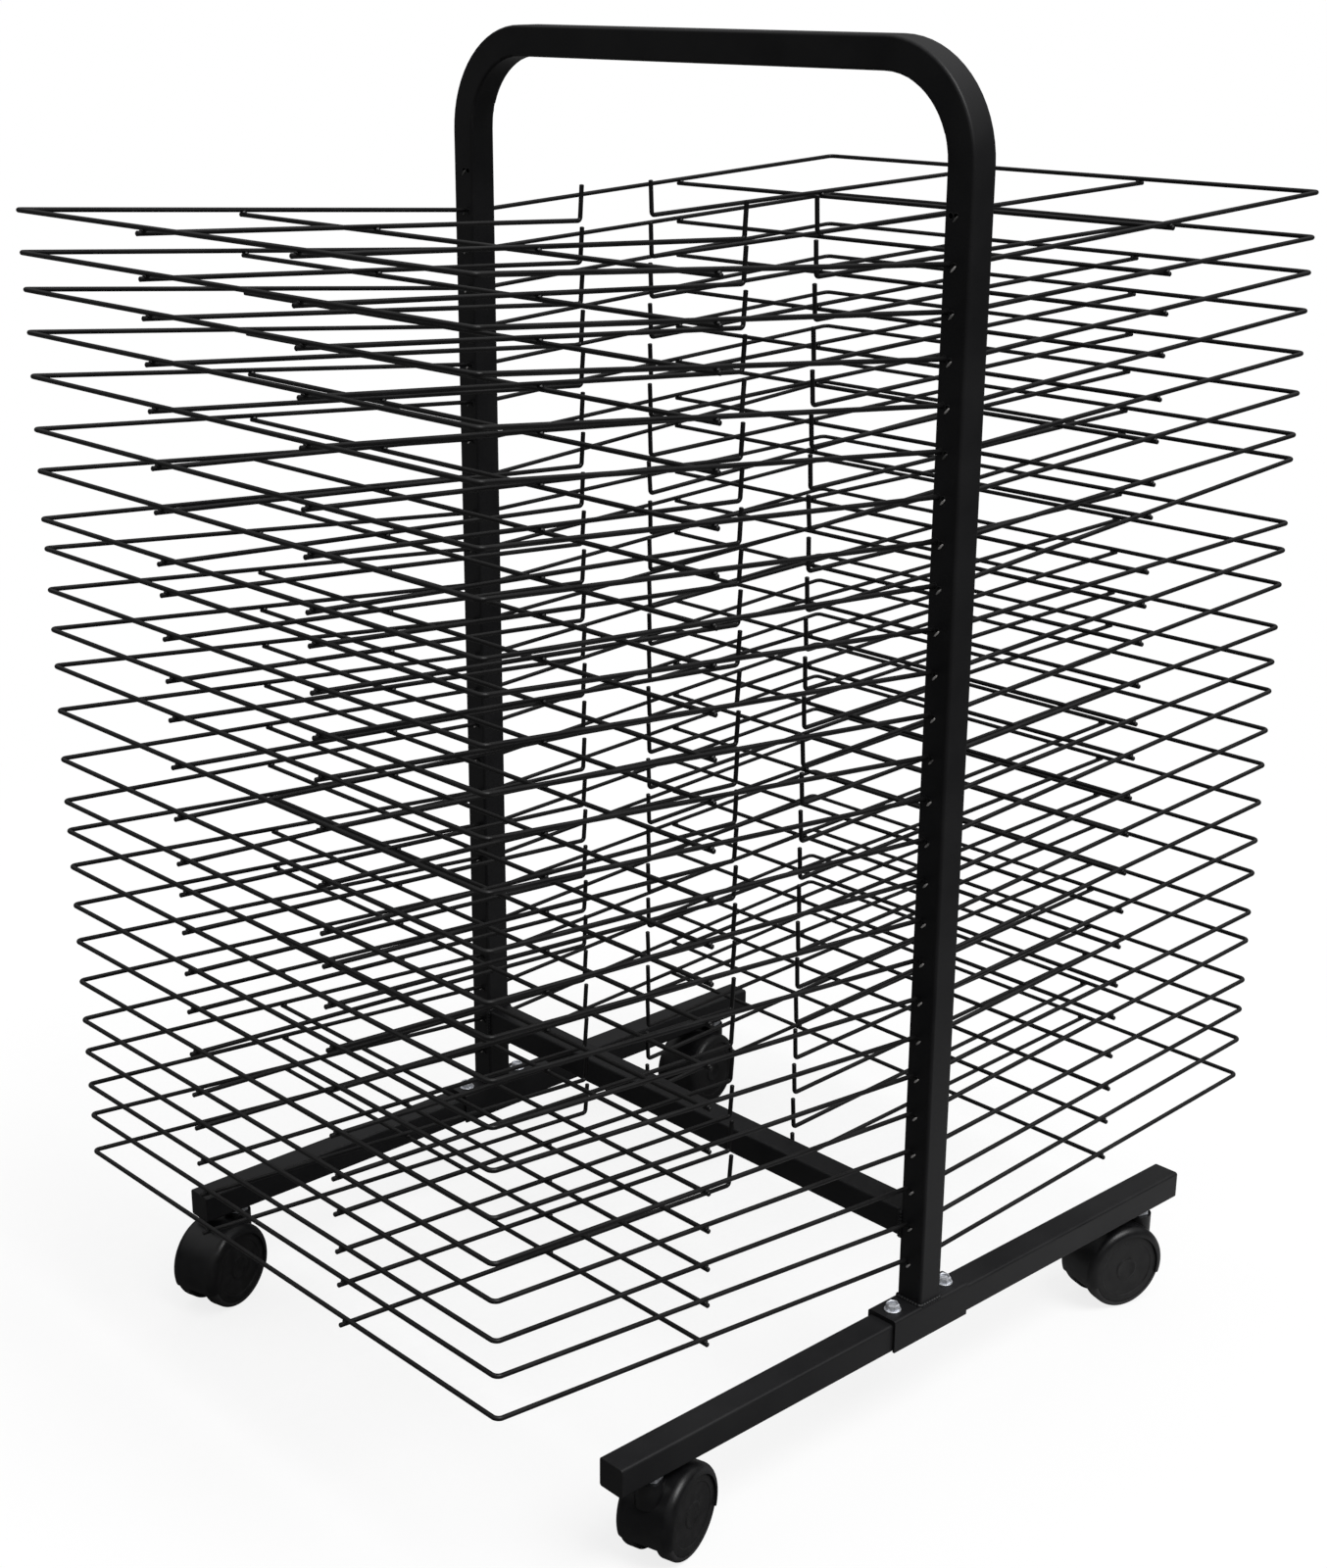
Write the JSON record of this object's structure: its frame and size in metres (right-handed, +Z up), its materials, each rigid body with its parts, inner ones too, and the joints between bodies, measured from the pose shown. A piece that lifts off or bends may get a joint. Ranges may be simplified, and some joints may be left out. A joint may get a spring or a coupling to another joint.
{
  "type": "art drying rack",
  "caption": "Double-sided drying rack for artwork: wire shelves plugged into a bent square-tube arch on two tube feet with twin-wheel castors.",
  "frame": {"origin": "on the floor, under the middle of the rack", "axes": "+Z up, +X along the arch from the left post to the right post, -Y towards the front shelves, +Y towards the rear shelves"},
  "size_m": [0.6026, 0.8995, 1.1005],
  "materials": {
    "powder_coat": "satin black powder coat",
    "coated_wire": "satin black powder coat on wire",
    "plastic_cap": "moulded black polyethylene",
    "zinc_steel": "bright zinc plate",
    "castor_nylon": "moulded black nylon, fine grain",
    "castor_tread": "moulded black nylon, worn smooth"
  },
  "bodies": {
    "frame": {"arch": "powder_coat", "crossbar": "powder_coat", "left_saddle": "powder_coat", "right_saddle": "powder_coat", "left_foot": "powder_coat", "right_foot": "powder_coat", "foot_end_caps": "plastic_cap", "foot_bolts": "zinc_steel", "foot_washers": "zinc_steel", "foot_nuts": "zinc_steel", "castor_stems": "zinc_steel", "castor_stem_nuts": "zinc_steel", "front_lower_shelves": "coated_wire", "rear_lower_shelves": "coated_wire"},
    "front_shelf_01": {"front_shelf_01": "coated_wire"},
    "front_shelf_02": {"front_shelf_02": "coated_wire"},
    "front_shelf_03": {"front_shelf_03": "coated_wire"},
    "front_shelf_04": {"front_shelf_04": "coated_wire"},
    "front_shelf_05": {"front_shelf_05": "coated_wire"},
    "front_shelf_06": {"front_shelf_06": "coated_wire"},
    "front_shelf_07": {"front_shelf_07": "coated_wire"},
    "front_shelf_08": {"front_shelf_08": "coated_wire"},
    "front_shelf_09": {"front_shelf_09": "coated_wire"},
    "front_shelf_10": {"front_shelf_10": "coated_wire"},
    "front_shelf_11": {"front_shelf_11": "coated_wire"},
    "front_shelf_12": {"front_shelf_12": "coated_wire"},
    "front_shelf_13": {"front_shelf_13": "coated_wire"},
    "front_shelf_14": {"front_shelf_14": "coated_wire"},
    "front_shelf_15": {"front_shelf_15": "coated_wire"},
    "front_shelf_16": {"front_shelf_16": "coated_wire"},
    "front_shelf_17": {"front_shelf_17": "coated_wire"},
    "rear_shelf_01": {"rear_shelf_01": "coated_wire"},
    "rear_shelf_02": {"rear_shelf_02": "coated_wire"},
    "rear_shelf_03": {"rear_shelf_03": "coated_wire"},
    "rear_shelf_04": {"rear_shelf_04": "coated_wire"},
    "rear_shelf_05": {"rear_shelf_05": "coated_wire"},
    "rear_shelf_06": {"rear_shelf_06": "coated_wire"},
    "rear_shelf_07": {"rear_shelf_07": "coated_wire"},
    "rear_shelf_08": {"rear_shelf_08": "coated_wire"},
    "rear_shelf_09": {"rear_shelf_09": "coated_wire"},
    "rear_shelf_10": {"rear_shelf_10": "coated_wire"},
    "rear_shelf_11": {"rear_shelf_11": "coated_wire"},
    "rear_shelf_12": {"rear_shelf_12": "coated_wire"},
    "rear_shelf_13": {"rear_shelf_13": "coated_wire"},
    "rear_shelf_14": {"rear_shelf_14": "coated_wire"},
    "rear_shelf_15": {"rear_shelf_15": "coated_wire"},
    "rear_shelf_16": {"rear_shelf_16": "coated_wire"},
    "rear_shelf_17": {"rear_shelf_17": "coated_wire"},
    "front_right_castor": {"front_right_castor_hood": "castor_nylon"},
    "front_right_wheels": {"front_right_castor_wheels": "castor_tread", "front_right_castor_axle": "zinc_steel"},
    "front_left_castor": {"front_left_castor_hood": "castor_nylon"},
    "front_left_wheels": {"front_left_castor_wheels": "castor_tread", "front_left_castor_axle": "zinc_steel"},
    "rear_right_castor": {"rear_right_castor_hood": "castor_nylon"},
    "rear_right_wheels": {"rear_right_castor_wheels": "castor_tread", "rear_right_castor_axle": "zinc_steel"},
    "rear_left_castor": {"rear_left_castor_hood": "castor_nylon"},
    "rear_left_wheels": {"rear_left_castor_wheels": "castor_tread", "rear_left_castor_axle": "zinc_steel"}
  },
  "joints": [
    {"name": "front_shelf_01_slide", "type": "slide", "parent": "frame", "child": "front_shelf_01", "axis": [0, -0.9976, 0.0695], "range_m": [0, 0.03]},
    {"name": "front_shelf_02_slide", "type": "slide", "parent": "frame", "child": "front_shelf_02", "axis": [0, -0.9973, 0.074], "range_m": [0, 0.03]},
    {"name": "front_shelf_03_slide", "type": "slide", "parent": "frame", "child": "front_shelf_03", "axis": [0, -0.9962, 0.0873], "range_m": [0, 0.03]},
    {"name": "front_shelf_04_slide", "type": "slide", "parent": "frame", "child": "front_shelf_04", "axis": [0, -0.996, 0.0895], "range_m": [0, 0.03]},
    {"name": "front_shelf_05_slide", "type": "slide", "parent": "frame", "child": "front_shelf_05", "axis": [0, -0.996, 0.0895], "range_m": [0, 0.03]},
    {"name": "front_shelf_06_slide", "type": "slide", "parent": "frame", "child": "front_shelf_06", "axis": [0, -0.9974, 0.0717], "range_m": [0, 0.03]},
    {"name": "front_shelf_07_slide", "type": "slide", "parent": "frame", "child": "front_shelf_07", "axis": [0, -0.9973, 0.074], "range_m": [0, 0.03]},
    {"name": "front_shelf_08_slide", "type": "slide", "parent": "frame", "child": "front_shelf_08", "axis": [0, -0.998, 0.0628], "range_m": [0, 0.03]},
    {"name": "front_shelf_09_slide", "type": "slide", "parent": "frame", "child": "front_shelf_09", "axis": [0, -0.9964, 0.0851], "range_m": [0, 0.03]},
    {"name": "front_shelf_10_slide", "type": "slide", "parent": "frame", "child": "front_shelf_10", "axis": [0, -0.9964, 0.0851], "range_m": [0, 0.03]},
    {"name": "front_shelf_11_slide", "type": "slide", "parent": "frame", "child": "front_shelf_11", "axis": [0, -0.9962, 0.0873], "range_m": [0, 0.03]},
    {"name": "front_shelf_12_slide", "type": "slide", "parent": "frame", "child": "front_shelf_12", "axis": [0, -0.9956, 0.094], "range_m": [0, 0.03]},
    {"name": "front_shelf_13_slide", "type": "slide", "parent": "frame", "child": "front_shelf_13", "axis": [0, -0.9964, 0.0851], "range_m": [0, 0.03]},
    {"name": "front_shelf_14_slide", "type": "slide", "parent": "frame", "child": "front_shelf_14", "axis": [0, -0.9977, 0.0673], "range_m": [0, 0.03]},
    {"name": "front_shelf_15_slide", "type": "slide", "parent": "frame", "child": "front_shelf_15", "axis": [0, -0.9982, 0.0606], "range_m": [0, 0.03]},
    {"name": "front_shelf_16_slide", "type": "slide", "parent": "frame", "child": "front_shelf_16", "axis": [0, -0.9969, 0.0784], "range_m": [0, 0.03]},
    {"name": "front_shelf_17_slide", "type": "slide", "parent": "frame", "child": "front_shelf_17", "axis": [0, -0.9966, 0.0829], "range_m": [0, 0.03]},
    {"name": "rear_shelf_01_slide", "type": "slide", "parent": "frame", "child": "rear_shelf_01", "axis": [0, 0.9989, 0.0471], "range_m": [0, 0.03]},
    {"name": "rear_shelf_02_slide", "type": "slide", "parent": "frame", "child": "rear_shelf_02", "axis": [0, 0.9992, 0.0404], "range_m": [0, 0.03]},
    {"name": "rear_shelf_03_slide", "type": "slide", "parent": "frame", "child": "rear_shelf_03", "axis": [0, 0.9987, 0.0516], "range_m": [0, 0.03]},
    {"name": "rear_shelf_04_slide", "type": "slide", "parent": "frame", "child": "rear_shelf_04", "axis": [0, 0.9984, 0.0561], "range_m": [0, 0.03]},
    {"name": "rear_shelf_05_slide", "type": "slide", "parent": "frame", "child": "rear_shelf_05", "axis": [0, 0.9987, 0.0516], "range_m": [0, 0.03]},
    {"name": "rear_shelf_06_slide", "type": "slide", "parent": "frame", "child": "rear_shelf_06", "axis": [0, 0.9987, 0.0516], "range_m": [0, 0.03]},
    {"name": "rear_shelf_07_slide", "type": "slide", "parent": "frame", "child": "rear_shelf_07", "axis": [0, 0.9989, 0.0471], "range_m": [0, 0.03]},
    {"name": "rear_shelf_08_slide", "type": "slide", "parent": "frame", "child": "rear_shelf_08", "axis": [0, 0.9971, 0.0762], "range_m": [0, 0.03]},
    {"name": "rear_shelf_09_slide", "type": "slide", "parent": "frame", "child": "rear_shelf_09", "axis": [0, 0.9997, 0.0247], "range_m": [0, 0.03]},
    {"name": "rear_shelf_10_slide", "type": "slide", "parent": "frame", "child": "rear_shelf_10", "axis": [0, 0.9989, 0.0471], "range_m": [0, 0.03]},
    {"name": "rear_shelf_11_slide", "type": "slide", "parent": "frame", "child": "rear_shelf_11", "axis": [0, 0.9985, 0.0539], "range_m": [0, 0.03]},
    {"name": "rear_shelf_12_slide", "type": "slide", "parent": "frame", "child": "rear_shelf_12", "axis": [0, 0.9991, 0.0427], "range_m": [0, 0.03]},
    {"name": "rear_shelf_13_slide", "type": "slide", "parent": "frame", "child": "rear_shelf_13", "axis": [0, 0.9989, 0.0471], "range_m": [0, 0.03]},
    {"name": "rear_shelf_14_slide", "type": "slide", "parent": "frame", "child": "rear_shelf_14", "axis": [0, 0.998, 0.0628], "range_m": [0, 0.03]},
    {"name": "rear_shelf_15_slide", "type": "slide", "parent": "frame", "child": "rear_shelf_15", "axis": [0, 0.9984, 0.0561], "range_m": [0, 0.03]},
    {"name": "rear_shelf_16_slide", "type": "slide", "parent": "frame", "child": "rear_shelf_16", "axis": [0, 0.9983, 0.0583], "range_m": [0, 0.03]},
    {"name": "rear_shelf_17_slide", "type": "slide", "parent": "frame", "child": "rear_shelf_17", "axis": [0, 0.9985, 0.0539], "range_m": [0, 0.03]},
    {"name": "front_right_swivel", "type": "hinge", "parent": "frame", "child": "front_right_castor", "pos_m": [0.2755, -0.302, 0.07], "axis": [0, 0, 1], "continuous": true},
    {"name": "front_right_roll", "type": "hinge", "parent": "front_right_castor", "child": "front_right_wheels", "pos_m": [0.26838, -0.27699, 0.0375], "axis": [-0.9617, -0.274, 0], "continuous": true},
    {"name": "front_left_swivel", "type": "hinge", "parent": "frame", "child": "front_left_castor", "pos_m": [-0.2755, -0.302, 0.07], "axis": [0, 0, 1], "continuous": true},
    {"name": "front_left_roll", "type": "hinge", "parent": "front_left_castor", "child": "front_left_wheels", "pos_m": [-0.26864, -0.32708, 0.0375], "axis": [0.9646, 0.2639, 0], "continuous": true},
    {"name": "rear_right_swivel", "type": "hinge", "parent": "frame", "child": "rear_right_castor", "pos_m": [0.2755, 0.302, 0.07], "axis": [0, 0, 1], "continuous": true},
    {"name": "rear_right_roll", "type": "hinge", "parent": "rear_right_castor", "child": "rear_right_wheels", "pos_m": [0.26825, 0.27703, 0.0375], "axis": [0.9603, -0.279, 0], "continuous": true},
    {"name": "rear_left_swivel", "type": "hinge", "parent": "frame", "child": "rear_left_castor", "pos_m": [-0.2755, 0.302, 0.07], "axis": [0, 0, 1], "continuous": true},
    {"name": "rear_left_roll", "type": "hinge", "parent": "rear_left_castor", "child": "rear_left_wheels", "pos_m": [-0.27099, 0.27639, 0.0375], "axis": [0.9848, 0.1736, 0], "continuous": true}
  ]
}
